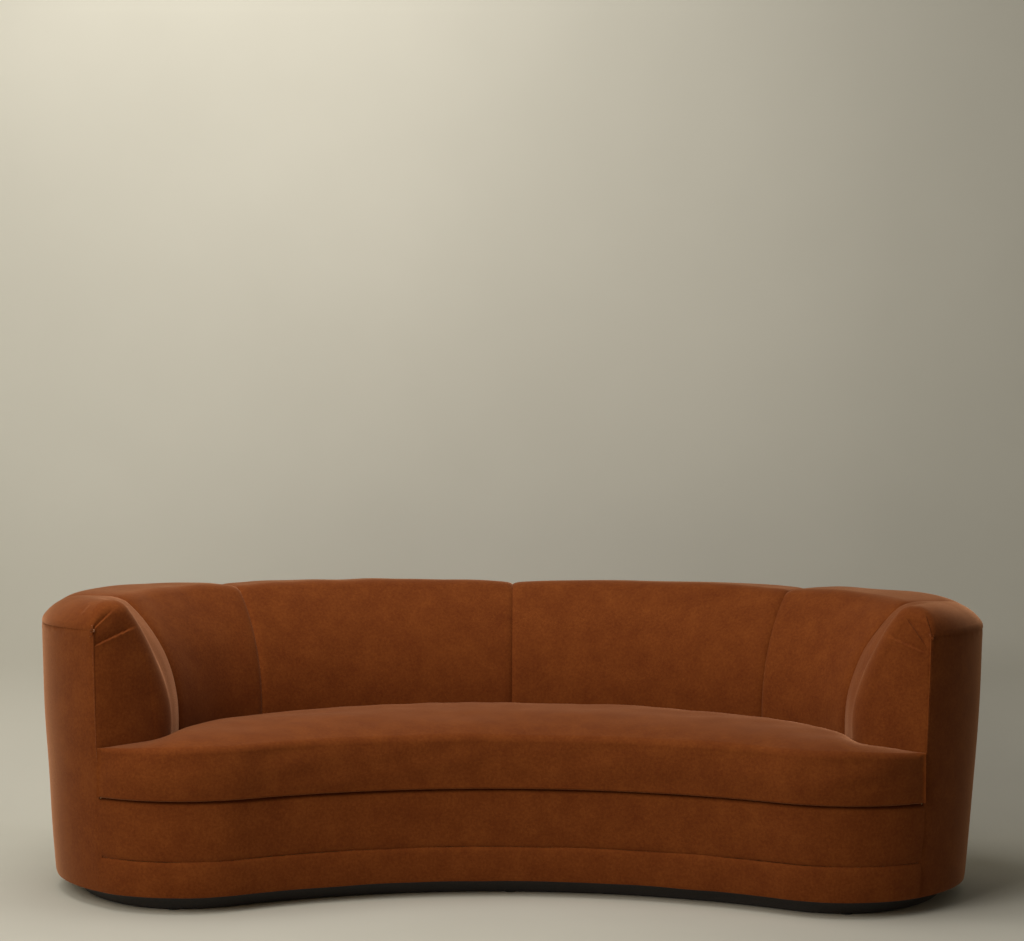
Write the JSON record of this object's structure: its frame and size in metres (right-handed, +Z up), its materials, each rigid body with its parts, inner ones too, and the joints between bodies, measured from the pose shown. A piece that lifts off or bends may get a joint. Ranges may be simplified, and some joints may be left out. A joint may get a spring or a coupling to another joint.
{
  "type": "curved sofa",
  "caption": "Kidney-plan sofa with a channelled wrap-around back, rolled arms, one lift-off bench cushion with a rear zip, and a recessed plinth.",
  "frame": {"origin": "on the floor under the middle of the bounding box", "axes": "+X along the sofa's length, to the right seen from the front; the front faces -Y; +Z up"},
  "size_m": [2.442, 1.0692, 0.762],
  "materials": {
    "velvet": "matte",
    "cushion_foam": "matte",
    "foam": "matte",
    "plywood": "matte",
    "timber": "matte",
    "stained_plinth": "satin",
    "fibre_liner": "matte",
    "felt": "matte",
    "black_cloth": "matte",
    "jute": "matte",
    "spring_steel": "satin",
    "nylon": "matte",
    "zip_metal": "satin"
  },
  "bodies": {
    "sofa_body": {"apron_cover": "velvet", "apron_pad": "foam", "arm_pad_left": "foam", "arm_pad_right": "foam", "arm_post_left": "plywood", "arm_post_right": "plywood", "back_liner": "fibre_liner", "back_rail": "plywood", "back_webbing": "jute", "base_rib_back": "plywood", "base_rib_front": "plywood", "deck_cover": "velvet", "deck_pad": "felt", "dust_cover": "black_cloth", "front_rail": "plywood", "high_inner_rail": "plywood", "inner_back_cover_left": "velvet", "inner_back_cover_right": "velvet", "inner_back_pad_left": "foam", "inner_back_pad_right": "foam", "inner_studs": "timber", "inside_arm_cover_left": "velvet", "inside_arm_cover_right": "velvet", "low_inner_rail": "plywood", "lower_band_cover": "velvet", "outer_back_cover_left": "velvet", "outer_back_cover_right": "velvet", "outer_back_pad_left": "foam", "outer_back_pad_right": "foam", "outer_studs": "timber", "outside_arm_cover_left": "velvet", "outside_arm_cover_right": "velvet", "outside_back_cover": "velvet", "plinth_back": "stained_plinth", "plinth_crossbars": "timber", "plinth_front": "stained_plinth", "plinth_glides": "nylon", "plinth_left": "stained_plinth", "plinth_right": "stained_plinth", "seat_rib_back": "plywood", "seat_rib_front": "plywood", "seat_springs": "spring_steel", "seat_stretchers": "timber", "side_liner_left": "fibre_liner", "side_liner_right": "fibre_liner", "side_rail_left": "plywood", "side_rail_right": "plywood", "spring_clips": "spring_steel", "spring_cloth": "black_cloth", "top_rib_back": "plywood", "top_rib_left": "plywood", "top_rib_right": "plywood", "top_ties": "plywood"},
    "seat_cushion": {"cushion_core": "cushion_foam", "cushion_top_panel": "velvet", "cushion_bottom_panel": "velvet", "cushion_border": "velvet", "cushion_zip_band": "velvet"},
    "cushion_zip": {"zip_slider": "zip_metal"}
  },
  "joints": [
    {"name": "cushion_lift", "type": "slide", "parent": "sofa_body", "child": "seat_cushion", "axis": [0, 0, 1], "range_m": [0, 0.55]},
    {"name": "zip_run", "type": "hinge", "parent": "seat_cushion", "child": "cushion_zip", "pos_m": [0, -0.91694, 0.34], "axis": [0, 0, 1], "range_deg": [0, 42.44]}
  ]
}
